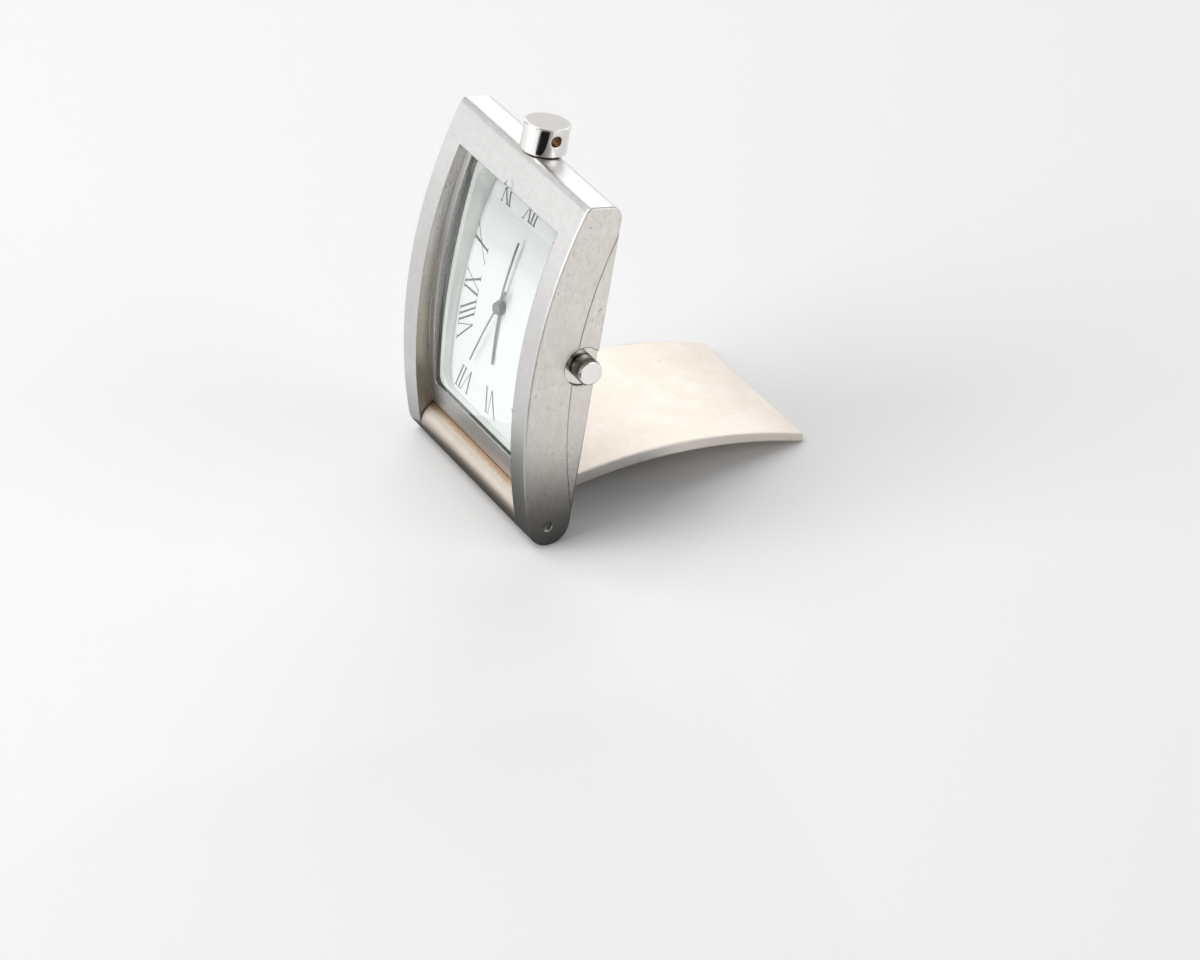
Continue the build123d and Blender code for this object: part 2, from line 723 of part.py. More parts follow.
# Hands and the wheels they stand on
hour_hand_back = dial_front - hour_hand_lift
hour_hand_front = hour_hand_back - hand_thickness
minute_hand_back = hour_hand_back - hand_step
minute_hand_front = minute_hand_back - hand_thickness
seconds_hand_back = minute_hand_back - hand_step
seconds_hand_front = seconds_hand_back - hand_thickness
seconds_cap_front = seconds_hand_back - seconds_boss_thickness
pieces["seconds_wheel"] = (disc(centre, arbor_radius, seconds_cap_front, bridge_front - end_shake)
                           + disc(centre, pivot_radius, seconds_cap_front, bridge_back)
                           + seconds_pinion + seconds_wheel)
pieces["centre_wheel"] = centre_wheel - disc(centre, cannon_radius, level_centre, level_third)
pieces["cannon_pinion"] = (disc(centre, cannon_radius, minute_hand_front, level_centre + gear_thickness)
                           + cannon_leaves
                           - disc(centre, cannon_bore, minute_hand_front - overrun, bridge_front))
pieces["minute_wheel"] = (minute_wheel + minute_pinion
                          + disc(minute_place, arbor_radius + pivot_fit + fit_gap, level_hour,
                                 level_minute + gear_thickness)
                          - disc(minute_place, arbor_radius + pivot_fit, 0, plate_front))
hour_wheel += disc(centre, hour_pipe_radius, hour_hand_front, level_hour + gear_thickness)
hour_wheel -= disc(centre, hour_pipe_bore, hour_hand_front - overrun, plate_front)
pieces["hour_wheel"] = hour_wheel


def hand(length, width, boss, angle, front, back):
    """Straight hand pointing so many degrees clockwise from twelve, with a round boss."""
    outline = Circle(boss) + Pos(0, length / 2) * Rectangle(width, length)
    return slab(Rot(0, 0, -angle) * outline, front, back)


hour_hand = hand(hour_hand_length, hour_hand_width, hour_boss_radius, hour_angle, hour_hand_front,
                 hour_hand_back)
pieces["hour_hand"] = hour_hand - disc(centre, hour_pipe_radius, hour_hand_front, hour_hand_back)
minute_hand = hand(minute_hand_length, minute_hand_width, minute_boss_radius, minute_angle,
                   minute_hand_front, minute_hand_back)
pieces["minute_hand"] = minute_hand - disc(centre, cannon_radius, minute_hand_front, minute_hand_back)
seconds_hand = hand(seconds_hand_length, seconds_hand_width, seconds_hand_width, seconds_angle,
                    seconds_hand_front, seconds_hand_back)
seconds_hand += hand(seconds_tail_length, seconds_tail_width, seconds_hand_width, seconds_angle + 180,
                     seconds_hand_front, seconds_hand_back)
seconds_hand += disc(centre, seconds_boss_radius, seconds_cap_front, seconds_hand_back)
pieces["seconds_hand"] = seconds_hand - disc(centre, arbor_radius, seconds_cap_front, seconds_hand_back)

# Crown, tube, gasket and stem, and the keyless work they drive
crown_face = side + crown_proud
fluted = toothed(crown_flutes, crown_radius - flute_depth, crown_radius)
crown = across(Pos(crown_depth, dial_height) * fluted, crown_start, crown_face)
crown_shape = rod(crown_depth, dial_height, crown_radius, crown_start, crown_face)
crown_shape = fillet(crown_shape.edges().sort_by(Axis.X)[-1], crown_round)
crown &= crown_shape
crown -= rod(crown_depth, dial_height, crown_cavity_radius, 0, crown_start + crown_cavity_depth)
crown -= rod(crown_depth, dial_height, stem_radius, 0, stem_end)
pieces["crown"] = crown
gasket_start = crown_start + crown_gasket_lift
pieces["crown_gasket"] = (rod(crown_depth, dial_height, crown_cavity_radius, gasket_start,
                              gasket_start + crown_gasket_thickness)
                          - rod(crown_depth, dial_height, tube_radius + square_fit, 0, crown_face))
tube = rod(crown_depth, dial_height, tube_radius, cavity_half_width, recess_floor + tube_proud)
tube -= rod(crown_depth, dial_height, tube_bore, 0, crown_face)
pieces["crown_tube"] = tube
square = Pos(crown_depth, dial_height) * Rectangle(stem_square, stem_square)
square_end = stem_start + stem_square_length
groove_end = groove_start + stem_groove
pieces["winding_stem"] = (across(square, stem_start, square_end)
                          + rod(crown_depth, dial_height, stem_radius, square_end, groove_start)
                          + rod(crown_depth, dial_height, stem_groove_radius, groove_start, groove_end)
                          + rod(crown_depth, dial_height, stem_radius, groove_end, stem_end))
clutch_outline = toothed(clutch_teeth, clutch_radius - clutch_tooth_depth, clutch_radius)
clutch = across(Pos(crown_depth, dial_height) * clutch_outline, clutch_start, clutch_start + clutch_length)
groove_ring = (rod(crown_depth, dial_height, clutch_radius + overrun, yoke_place[0] - clutch_groove / 2,
                   yoke_place[0] + clutch_groove / 2)
               - rod(crown_depth, dial_height, clutch_groove_radius, 0, side))
clutch -= groove_ring
clutch_bore = stem_square + 2 * square_fit
clutch -= across(Pos(crown_depth, dial_height) * Rectangle(clutch_bore, clutch_bore), 0, side)
pieces["clutch_wheel"] = clutch
lever = bar(lever_place, lever_pin_place, lever_half_width, lever_front, lever_front + lever_thickness)
lever -= disc(lever_place, lever_post_radius, lever_front, lever_front + lever_thickness)
lever += disc(lever_pin_place, lever_pin_radius, lever_front - lever_pin_length, lever_front)
pieces["setting_lever"] = lever
yoke_end = (yoke_place[0], 0)
yoke = bar(yoke_place, yoke_end, yoke_half_width, yoke_front, yoke_front + yoke_thickness)
yoke -= disc(yoke_place, lever_post_radius, yoke_front, yoke_front + yoke_thickness)
yoke += disc(yoke_end, yoke_pin_radius, crown_depth + clutch_groove_radius + fit_gap, yoke_front)
pieces["yoke"] = yoke

# Knob, its stem and the clip that keeps it
stem_bottom = clip_bottom - knob_tail
knob = post(knob_radius, knob_bottom, knob_bottom + knob_height)
knob = chamfer(knob.edges().filter_by(GeomType.CIRCLE), knob_edge)
knob += post(collar_radius, top + collar_shake, knob_bottom)
knob += post(knob_stem_radius, stem_bottom, knob_bottom)
knob -= (post(knob_stem_radius + overrun, clip_bottom, clip_bottom + clip_thickness)
         - post(clip_groove_radius, clip_bottom, clip_bottom + clip_thickness))
hole_height = knob_bottom + hole_rise
knob -= rod(knob_depth, hole_height, hole_radius, -knob_radius - overrun, knob_radius + overrun)
pieces["keyring_knob"] = knob
clip = (post(clip_radius, clip_bottom, clip_bottom + clip_thickness)
        - post(clip_groove_radius, clip_bottom, clip_bottom + clip_thickness))
clip -= box((-clip_mouth / 2, knob_depth, clip_bottom),
            (clip_mouth / 2, knob_depth + clip_radius, clip_pocket_top))
pieces["knob_clip"] = clip

# Cover that is also the stand, with its barrel, pins and washers
barrel_touch = -barrel_radius * middle / (front_radius - barrel_radius)
leaf = Pos(front_centre, middle) * Circle(front_radius)
leaf -= Pos(front_centre, seat_middle) * Circle(front_radius - cover_thickness)
leaf &= Pos(-front_depth / 2, (cover_tip + barrel_touch) / 2) * Rectangle(front_depth + 2 * overrun,
                                                                          cover_tip - barrel_touch)
leaf -= Circle(barrel_radius)
cover = across(leaf, -cover_half_width, cover_half_width)
swing = Rot(open_angle, 0, 0)
barrel = rod(0, 0, barrel_radius, -barrel_half_length, barrel_half_length)
pins = []
washers = []
for hand_side in (-1, 1):
    pin_ends = sorted((hand_side * (barrel_half_length - pin_depth), hand_side * (side - pin_inset)))
    pin = rod(0, 0, pin_radius, *pin_ends)
    dimple_ends = sorted((hand_side * (side - pin_inset - pin_dimple_depth), hand_side * (side + overrun)))
    pins.append(pin - rod(0, 0, pin_dimple_radius, *dimple_ends))
    bore_ends = sorted((hand_side * (barrel_half_length - pin_depth - fit_gap), hand_side * side))
    barrel -= rod(0, 0, pin_radius + pin_fit, *bore_ends)
    washer_ends = sorted((hand_side * (inner_side - washer_thickness), hand_side * inner_side))
    washers.append(rod(0, 0, washer_radius, *washer_ends) - rod(0, 0, pin_radius + pin_fit, *washer_ends))
pieces["cover_stand"] = swing * cover
pieces["hinge_barrel"] = barrel
pieces["hinge_pin"] = pins
pieces["hinge_washer"] = washers

# Lean everything back on the floor, which touches the cheeks' round foot and the cover's low corner
tip_depth = front_centre - sqrt((front_radius - cover_thickness)**2 - (cover_tip - seat_middle)**2)
tip_y = tip_depth * cos(rest_turn) - cover_tip * sin(rest_turn)
tip_z = tip_depth * sin(rest_turn) + cover_tip * cos(rest_turn)
tip_reach = hypot(tip_y - foot_y, tip_z - foot_z)
lean = degrees(atan2(tip_z - foot_z, tip_y - foot_y) + asin(foot_radius / tip_reach))
leaned = {name: Rot(-lean, 0, 0) * (Compound(piece) if isinstance(piece, list) else piece)
          for name, piece in pieces.items()}
bounds = Compound(list(leaned.values())).bounding_box()
shift = Pos(-(bounds.min.X + bounds.max.X) / 2, -(bounds.min.Y + bounds.max.Y) / 2, -bounds.min.Z)

os.makedirs("parts", exist_ok=True)
for name, piece in leaned.items():
    export_step(shift * piece, f"parts/{name}.step")
print("lean", lean, "shift", shift.position, "size", bounds.size)
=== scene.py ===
import json
import math

import bpy
import bmesh
from mathutils import Matrix, Quaternion, Vector


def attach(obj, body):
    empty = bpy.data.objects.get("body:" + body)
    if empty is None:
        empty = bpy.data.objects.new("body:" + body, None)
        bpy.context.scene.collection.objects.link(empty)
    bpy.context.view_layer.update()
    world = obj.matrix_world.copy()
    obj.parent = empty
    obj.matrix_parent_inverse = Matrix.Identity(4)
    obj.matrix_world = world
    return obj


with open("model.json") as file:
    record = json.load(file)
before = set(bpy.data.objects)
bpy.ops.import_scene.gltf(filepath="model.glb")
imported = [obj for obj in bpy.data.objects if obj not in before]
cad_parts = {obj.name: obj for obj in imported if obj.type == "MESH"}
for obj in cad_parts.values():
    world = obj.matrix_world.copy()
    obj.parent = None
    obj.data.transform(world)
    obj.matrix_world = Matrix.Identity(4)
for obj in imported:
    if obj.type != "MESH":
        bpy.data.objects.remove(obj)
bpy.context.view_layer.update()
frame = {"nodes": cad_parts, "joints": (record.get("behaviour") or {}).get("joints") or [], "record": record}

MM = 0.001
nodes = frame["nodes"]
joints = {joint["name"]: joint for joint in frame["joints"]}

# The watch's own axes: it leans back, so its back and up directions come from the hands' axis
own_right = Vector((1, 0, 0))
own_back = Vector(joints["seconds_turn"]["axis"]).normalized()
own_up = own_right.cross(own_back)
hub = Vector(joints["seconds_turn"]["pos_m"])
hinge = Vector(joints["cover_hinge"]["pos_m"])
hub_height = (hub - hinge).dot(own_up)
lean = math.atan2(own_up.y, own_up.z)

# Directions along the watch's own axes
crownward = (1, 0, 0)
forward = (0, -1, 0)
backward = (0, 1, 0)
upward = (0, 0, 1)
downward = (0, 0, -1)

# Parts of the case and the crown that have a finish, painted shade or painted light of their own, in mm
recess_radius = 2.9             # round recess of the crown
recess_start = 17.9             # its finish starts at this distance from the middle of the case
recess_end = 18.2               # and is whole from here on
notch_height = 41.7             # thumbnail notch in the top bar, above the hinge, with painted shade
notch_radius = 2.2
wall_reach = 15.2               # inner walls of the opening, from the middle of the case
wall_softness = 0.8
bar_reach = 14.8                # lower bar, from the middle of the case, painted lighter on its front
circle_softness = 0.06
flute_floor = 1.70              # painted shade between the crown's flutes, within this distance of its axis
hole_margin = 0.02              # the ring hole's painted shade reaches this far past its wall

# Samples of the shader nodes that look round a point
edge_samples = 6
corner_samples = 8


def depth_of(node):
    """Depths of a node's front and back along the watch's back axis, from the hinge, in metres."""
    depths = [(vertex.co - hinge).dot(own_back) for vertex in nodes[node].data.vertices]
    return min(depths), max(depths)


def own_place(right, depth, up):
    """The point that many mm right of the hub, behind the hinge and above the hub."""
    beside = hinge + own_right * (right * MM) + own_back * (depth * MM)
    return beside + own_up * (hub_height + up * MM)


def axis_place(point):
    """Depth and height of an axis along X in mm from the hinge, along the watch's own axes."""
    from_hinge = Vector(point) - hinge
    return 0, from_hinge.dot(own_back) / MM, from_hinge.dot(own_up) / MM


crown_place = axis_place(joints["crown_turn"]["pos_m"])
ring_hole = frame["record"]["mounts"][0]
ring_hole_place = axis_place(ring_hole["pos_m"])


# Helpers for shader nodes


def socket(tree, target, value):
    """Links a socket or sets a plain value."""
    if isinstance(value, bpy.types.NodeSocket):
        tree.links.new(value, target)
    elif value is not None:
        target.default_value = value


def math_node(tree, operation, first, second=None, third=None):
    node = tree.nodes.new("ShaderNodeMath")
    node.operation = operation
    for place, value in enumerate((first, second, third)):
        socket(tree, node.inputs[place], value)
    return node.outputs[0]


def share_of(tree, first, second):
    return math_node(tree, "MULTIPLY", first, second)


def vector_node(tree, operation, first, second=None):
    node = tree.nodes.new("ShaderNodeVectorMath")
    node.operation = operation
    socket(tree, node.inputs[0], first)
    if second is not None:
        socket(tree, node.inputs[1], second)
    return node.outputs["Value" if operation in ("DOT_PRODUCT", "DISTANCE") else "Vector"]


def spread(tree, value, low, high, start=0.0, end=1.0, smooth=False):
    """Maps low..high of a value to start..end, clamped."""
    node = tree.nodes.new("ShaderNodeMapRange")
    node.interpolation_type = "SMOOTHSTEP" if smooth else "LINEAR"
    limits = {"Value": value, "From Min": low, "From Max": high, "To Min": start, "To Max": end}
    for name, number in limits.items():
        socket(tree, node.inputs[name], number)
    return node.outputs["Result"]


def blend_colour(tree, share, first, second):
    node = tree.nodes.new("ShaderNodeMix")
    node.data_type = "RGBA"
    for name, value in (("Factor", share), ("A", first), ("B", second)):
        place = [found for found in node.inputs if found.name == name and found.enabled][0]
        socket(tree, place, value)
    return [found for found in node.outputs if found.enabled][0]


def noise(tree, place, scale, detail=2.0, rough=0.5, swirl=0.0):
    node = tree.nodes.new("ShaderNodeTexNoise")
    socket(tree, node.inputs["Vector"], place)
    socket(tree, node.inputs["Scale"], scale)
    node.inputs["Detail"].default_value = detail
    node.inputs["Roughness"].default_value = rough
    node.inputs["Distortion"].default_value = swirl
    return node.outputs["Fac"]


def object_mm(tree):
    """The surface's place in its body in mm from the hinge, along the watch's own axes."""
    coordinates = tree.nodes.new("ShaderNodeTexCoord").outputs["Object"]
    node = tree.nodes.new("ShaderNodeMapping")
    tree.links.new(coordinates, node.inputs["Vector"])
    start = Matrix.Rotation(lean, 3, "X") @ hinge
    node.inputs["Location"].default_value = -start / MM
    node.inputs["Rotation"].default_value = (lean, 0, 0)
    node.inputs["Scale"].default_value = (1 / MM,) * 3
    return node.outputs["Vector"]


def own_facing(tree):
    """The surface's direction in its body, along the watch's own axes."""
    coordinates = tree.nodes.new("ShaderNodeTexCoord").outputs["Normal"]
    node = tree.nodes.new("ShaderNodeMapping")
    node.vector_type = "NORMAL"
    tree.links.new(coordinates, node.inputs["Vector"])
    node.inputs["Rotation"].default_value = (lean, 0, 0)
    return node.outputs["Vector"]


def parts_of(tree, vector):
    node = tree.nodes.new("ShaderNodeSeparateXYZ")
    tree.links.new(vector, node.inputs[0])
    return node.outputs


NUMBER = "NodeSocketFloat"
VECTOR = "NodeSocketVector"


def effect(name, build, **inputs):
    """A shader node group with named inputs and one mask, built once."""
    tree = bpy.data.node_groups.new(name, "ShaderNodeTree")
    for label, value in inputs.items():
        kind = VECTOR if isinstance(value, tuple) else NUMBER
        made = tree.interface.new_socket(label, in_out="INPUT", socket_type=kind)
        made.default_value = value
    tree.interface.new_socket("Mask", in_out="OUTPUT", socket_type=NUMBER)
    entry = tree.nodes.new("NodeGroupInput")
    leave = tree.nodes.new("NodeGroupOutput")
    tree.links.new(build(tree, entry.outputs), leave.inputs["Mask"])
    return tree


# Effects that several finishes share


def build_grain(tree, given):
    """Fine even grain, drawn out along an axis where asked."""
    place = vector_node(tree, "MULTIPLY", object_mm(tree), given["Stretch"])
    return noise(tree, place, given["Scale"], 3.0, 0.6)


def build_brush(tree, given):
    """Long brush lines with shorter ones between them."""
    place = vector_node(tree, "MULTIPLY", object_mm(tree), given["Stretch"])
    long_lines = noise(tree, place, given["Scale"], 4.0, 0.7)
    finer = vector_node(tree, "MULTIPLY", place, (2.3, 2.3, 2.3))
    short_lines = noise(tree, finer, given["Scale"], 2.0, 0.6)
    both = math_node(tree, "ADD", short_lines, long_lines)
    return spread(tree, both, 0.6, 1.4)


def build_pits(tree, given):
    """Small round pits of uneven size, in a share of the cells and crowded in some places."""
    place = object_mm(tree)
    cells = tree.nodes.new("ShaderNodeTexVoronoi")
    cells.feature = "F1"
    tree.links.new(place, cells.inputs["Vector"])
    tree.links.new(given["Scale"], cells.inputs["Scale"])
    chance = parts_of(tree, cells.outputs["Color"])
    here = math_node(tree, "LESS_THAN", chance["X"], given["Share"])
    size = share_of(tree, given["Size"], spread(tree, chance["Y"], 0.0, 1.0, 0.35, 1.0))
    inner = share_of(tree, size, 0.35)
    round_pit = spread(tree, cells.outputs["Distance"], inner, size, 1.0, 0.0, smooth=True)
    crowded = spread(tree, noise(tree, place, 0.22, 2.0), 0.42, 0.58, 0.15, 1.0)
    return share_of(tree, share_of(tree, round_pit, here), crowded)


def build_speckle(tree, given):
    """Small uneven dark flecks, thicker in some places than in others."""
    place = vector_node(tree, "MULTIPLY", object_mm(tree), given["Stretch"])
    flecks = spread(tree, noise(tree, place, given["Scale"], 3.0, 0.75), 0.56, 0.72)
    crowded = spread(tree, noise(tree, object_mm(tree), 0.16, 3.0), 0.38, 0.64)
    return share_of(tree, flecks, crowded)


def build_smudges(tree, given):
    """Soft cloudy patches, as from handling."""
    cloud = noise(tree, object_mm(tree), given["Scale"], 4.0, 0.65, 0.4)
    half = math_node(tree, "DIVIDE", given["Softness"], 2)
    low = math_node(tree, "SUBTRACT", 0.5, half)
    high = math_node(tree, "ADD", 0.5, half)
    return spread(tree, cloud, low, high)


def build_edges(tree, given):
    """Where the surface turns over an edge, broken up a little as handling wears it."""
    bevel = tree.nodes.new("ShaderNodeBevel")
    bevel.samples = edge_samples
    tree.links.new(given["Width"], bevel.inputs["Radius"])
    flat = tree.nodes.new("ShaderNodeNewGeometry").outputs["Normal"]
    turn = vector_node(tree, "DOT_PRODUCT", bevel.outputs["Normal"], flat)
    edge = spread(tree, turn, 0.995, 0.85)
    broken = spread(tree, noise(tree, object_mm(tree), 0.8, 3.0, 0.7), 0.3, 0.6, 0.45, 1.0)
    return share_of(tree, edge, broken)


def build_occlusion_shade(tree, given):
    """Painted shade: darker in inner corners and narrow gaps, where less light reaches."""
    shade = tree.nodes.new("ShaderNodeAmbientOcclusion")
    shade.samples = corner_samples
    tree.links.new(given["Reach"], shade.inputs["Distance"])
    return spread(tree, shade.outputs["AO"], given["Start"], given["End"], 0.0, 1.0, smooth=True)


def build_facing(tree, given):
    """How much the surface faces a direction in the watch's own axes."""
    along = vector_node(tree, "DOT_PRODUCT", own_facing(tree), given["Direction"])
    return spread(tree, along, given["Start"], given["End"], smooth=True)


def build_inner_walls(tree, given):
    """Side walls inside the case opening, within a distance of the middle line."""
    across = math_node(tree, "ABSOLUTE", parts_of(tree, object_mm(tree))["X"])
    turned = math_node(tree, "ABSOLUTE", parts_of(tree, own_facing(tree))["X"])
    past = math_node(tree, "ADD", given["Reach"], wall_softness)
    near = spread(tree, across, given["Reach"], past, 1.0, 0.0)
    return share_of(tree, near, spread(tree, turned, 0.6, 0.95, smooth=True))


def build_round_part(tree, given):
    """Inside a circle round a point in mm from the hinge, seen along the axis left out of Across."""
    flat = vector_node(tree, "MULTIPLY", object_mm(tree), given["Across"])
    away = vector_node(tree, "DISTANCE", flat, given["Middle"])
    past = math_node(tree, "ADD", given["Radius"], circle_softness)
    return spread(tree, away, given["Radius"], past, 1.0, 0.0)


def build_stretch(tree, given):
    """Soft step between two planes across a direction in the watch's own axes."""
    along = vector_node(tree, "DOT_PRODUCT", object_mm(tree), given["Direction"])
    return spread(tree, along, given["Start"], given["End"], smooth=True)


grain = effect("metal_grain", build_grain, Scale=4.0, Stretch=(1, 1, 1))
brush = effect("brush_lines", build_brush, Scale=3.0, Stretch=(1, 1, 1))
pits = effect("small_pits", build_pits, Scale=2.0, Share=0.2, Size=0.2)
speckle = effect("dark_flecks", build_speckle, Scale=2.0, Stretch=(1, 1, 1))
smudges = effect("hand_smudges", build_smudges, Scale=0.2, Softness=0.3)
edges = effect("worn_edges", build_edges, Width=0.0002)
corners = effect("corner_dirt", build_occlusion_shade, Reach=0.001, Start=0.8, End=0.3)
facing = effect("facing_side", build_facing, Direction=upward, Start=0.4, End=0.8)
inner_walls = effect("inner_walls", build_inner_walls, Reach=wall_reach)
round_part = effect("round_part", build_round_part, Across=(0, 1, 1), Middle=(0, 0, 0), Radius=1.0)
reach_along = effect("part_of_length", build_stretch, Direction=upward, Start=0.0, End=1.0)


# Finishes of the pieces


class Finish:
    """A material with one Principled shader, and short ways to feed it."""

    def __init__(self, name, **plain):
        self.material = bpy.data.materials.new(name)
        self.material.use_nodes = True
        self.tree = self.material.node_tree
        self.shader = self.tree.nodes["Principled BSDF"]
        self.output = self.tree.nodes["Material Output"]
        for label, value in plain.items():
            self.shader.inputs[label.replace("_", " ")].default_value = value

    def feed(self, **values):
        for label, value in values.items():
            socket(self.tree, self.shader.inputs[label.replace("_", " ")], value)

    def mask(self, group, strength=1.0, **values):
        """Places an effect with its own values. Returns its mask, weakened where asked."""
        node = self.tree.nodes.new("ShaderNodeGroup")
        node.node_tree = group
        for label, value in values.items():
            socket(self.tree, node.inputs[label], value)
        mask = node.outputs["Mask"]
        return mask if strength == 1.0 else share_of(self.tree, mask, strength)

    def meet(self, mask, *others):
        """Where several masks hold at once."""
        for other in others:
            mask = share_of(self.tree, mask, other)
        return mask

    def mix(self, share, first, second):
        return blend_colour(self.tree, share, first, second)

    def range(self, value, start, end, low=0.3, high=0.7):
        return spread(self.tree, value, low, high, start, end)

    def relief(self, height, strength, distance, normal=None):
        """A bump from a height, over rounded edges where they are given."""
        node = self.tree.nodes.new("ShaderNodeBump")
        node.inputs["Strength"].default_value = strength
        node.inputs["Distance"].default_value = distance
        socket(self.tree, node.inputs["Height"], height)
        if normal is not None:
            self.tree.links.new(normal, node.inputs["Normal"])
        return node.outputs["Normal"]

    def rounded(self, radius):
        node = self.tree.nodes.new("ShaderNodeBevel")
        node.samples = edge_samples
        node.inputs["Radius"].default_value = radius
        return node.outputs["Normal"]


def grey(value, warm=0.0):
    """A grey, warmer above zero and cooler below."""
    return (value * (1 + warm), value, value * (1 - 1.4 * warm), 1)


def case_front_colour(metal, cloud):
    """Grey plating, with painted light: lighter towards the top and a painted highlight on the front of the
    lower bar.
    """
    small_cloud = metal.mask(smudges, 0.25, Scale=1.1, Softness=0.3)
    # Painted light: lighter towards the top, and a painted highlight on the front of the lower bar that
    # grows towards the crown's side
    high = metal.mask(reach_along, Direction=upward, Start=24.0, End=44.0)
    lower_bar_painted_light = metal.meet(
        metal.mask(round_part, Across=(1, 0, 0), Middle=(0, 0, 0), Radius=bar_reach),
        metal.mask(reach_along, Direction=downward, Start=-9.0, End=-6.5),
        metal.mask(reach_along, Direction=crownward, Start=-8.0, End=12.0),
        metal.mask(facing, Direction=forward, Start=0.3, End=0.7))
    colour = metal.mix(cloud, grey(0.60, 0.010), grey(0.66, 0.008))
    colour = metal.mix(high, colour, grey(0.80, 0.006))
    colour = metal.mix(small_cloud, colour, grey(0.54, 0.015))
    return metal.mix(lower_bar_painted_light, colour, grey(0.97, 0.02))


def case_side_colour(metal, cloud, lines):
    """The side's plating, painted lighter and warmer than the front as painted light, with brush lines and a
    mottle, and painted shade towards the foot.
    """
    mottle = metal.mask(smudges, 0.35, Scale=0.9, Softness=0.4)
    # Painted shade towards the foot
    side_foot_painted_shade = metal.mask(reach_along, 0.25, Direction=downward, Start=-14.0, End=-4.0)
    # The side's own colour, painted lighter and warmer than the front
    colour = metal.mix(cloud, grey(0.83, 0.045), grey(0.92, 0.04))
    colour = metal.mix(share_of(metal.tree, lines, 0.45), colour, grey(0.56, 0.05))
    colour = metal.mix(mottle, colour, grey(0.62, 0.07))
    return metal.mix(side_foot_painted_shade, colour, grey(0.22, 0.02))


def case_wall_colour(metal, lines, flecks):
    """The opening's side walls, browner towards the foot, with dark streaks and flecks."""
    low_wall = metal.mask(reach_along, Direction=downward, Start=-34.0, End=-12.0)
    colour = metal.mix(low_wall, grey(0.98, 0.02), (0.68, 0.61, 0.51, 1))
    colour = metal.mix(share_of(metal.tree, lines, 0.5), colour, (0.36, 0.32, 0.27, 1))
    return metal.mix(share_of(metal.tree, flecks, 0.6), colour, (0.16, 0.14, 0.12, 1))


def case_finish():
    """Satin plating with brush lines on the sides, flecks, pits and worn edges, with painted light: a
    lighter side, painted shade in inner corners, in the thumbnail scoop and towards the foot, and a
    painted highlight on the lower edges with a painted dark reflection on the upper ones.
    """
    metal = Finish("satin_case_metal", Metallic=1.0)
    tree = metal.tree
    cloud = metal.mask(smudges, Scale=0.16, Softness=0.35)
    fine = metal.mask(grain, Scale=5.0)
    lines = metal.mask(brush, Scale=2.6, Stretch=(1, 1, 0.07))
    flecks = metal.mask(speckle, Scale=2.4, Stretch=(1, 1, 0.55))
    holes = metal.mask(pits, Scale=1.15, Share=0.18, Size=0.18)
    side = metal.mask(facing, Direction=crownward, Start=0.6, End=0.95)
    walls = metal.mask(inner_walls)
    recess = metal.meet(
        metal.mask(round_part, Middle=crown_place, Radius=recess_radius),
        metal.mask(reach_along, Direction=crownward, Start=recess_start, End=recess_end))
    # Painted shade in the thumbnail notch
    notch_painted_shade = metal.meet(
        metal.mask(round_part, 0.6, Across=(1, 0, 1), Middle=(0, 0, notch_height), Radius=notch_radius),
        metal.mask(facing, Direction=forward, Start=0.97, End=0.80),
        metal.mask(facing, Direction=forward, Start=0.0, End=0.3))
    # Worn edges are smoother; their lighter colour is a painted highlight kept to the lower half, and in the
    # upper half the edges are painted dark as a dark reflection
    edge = metal.mask(edges, Width=0.00022)
    low_half = metal.mask(reach_along, Direction=downward, Start=-30.0, End=-14.0)
    worn = share_of(tree, edge, spread(tree, low_half, 0.0, 1.0, 0.15, 0.75))
    edge_painted_dark_reflection = share_of(tree, edge, spread(tree, low_half, 0.0, 1.0, 0.85, 0.0))
    # Painted shade in inner corners, gaps and the crown's recess
    corner_shade = metal.mask(corners, 0.85, Reach=0.0009, Start=0.72, End=0.25)
    # Painted shade towards the foot of the case
    foot = metal.mask(reach_along, 0.6, Direction=downward, Start=-8.0, End=2.0)
    fleck_share = share_of(tree, flecks, spread(tree, side, 0.0, 1.0, 0.25, 0.8))
    hole_share = share_of(tree, holes, spread(tree, side, 0.0, 1.0, 0.5, 0.9))
    # The side painted lighter than the front: painted light
    colour = metal.mix(side, case_front_colour(metal, cloud), case_side_colour(metal, cloud, lines))
    colour = metal.mix(walls, colour, case_wall_colour(metal, lines, flecks))
    colour = metal.mix(fleck_share, colour, grey(0.26, 0.07))
    colour = metal.mix(foot, colour, grey(0.22, 0.01))
    colour = metal.mix(corner_shade, colour, grey(0.13, 0.14))
    colour = metal.mix(hole_share, colour, grey(0.08, 0.08))
    colour = metal.mix(notch_painted_shade, colour, grey(0.30, 0.04))
    colour = metal.mix(edge_painted_dark_reflection, colour, grey(0.15, 0.05))
    colour = metal.mix(worn, colour, grey(0.92))
    rough = spread(tree, fine, 0.3, 0.7, 0.33, 0.44)
    rough = math_node(tree, "SUBTRACT", rough, share_of(tree, worn, 0.15))
    rough = math_node(tree, "SUBTRACT", rough, share_of(tree, recess, 0.22))
    brushed = share_of(tree, metal.meet(lines, side), 0.8)
    raised = math_node(tree, "ADD", fine, brushed)
    height = math_node(tree, "SUBTRACT", raised, share_of(tree, holes, 2.0))
    height = share_of(tree, height, spread(tree, recess, 0.0, 1.0, 1.0, 0.05))
    normal = metal.relief(height, 0.4, 0.00005, metal.rounded(0.00025))
    metal.feed(Base_Color=colour, Roughness=rough, Normal=normal)
    return metal.material


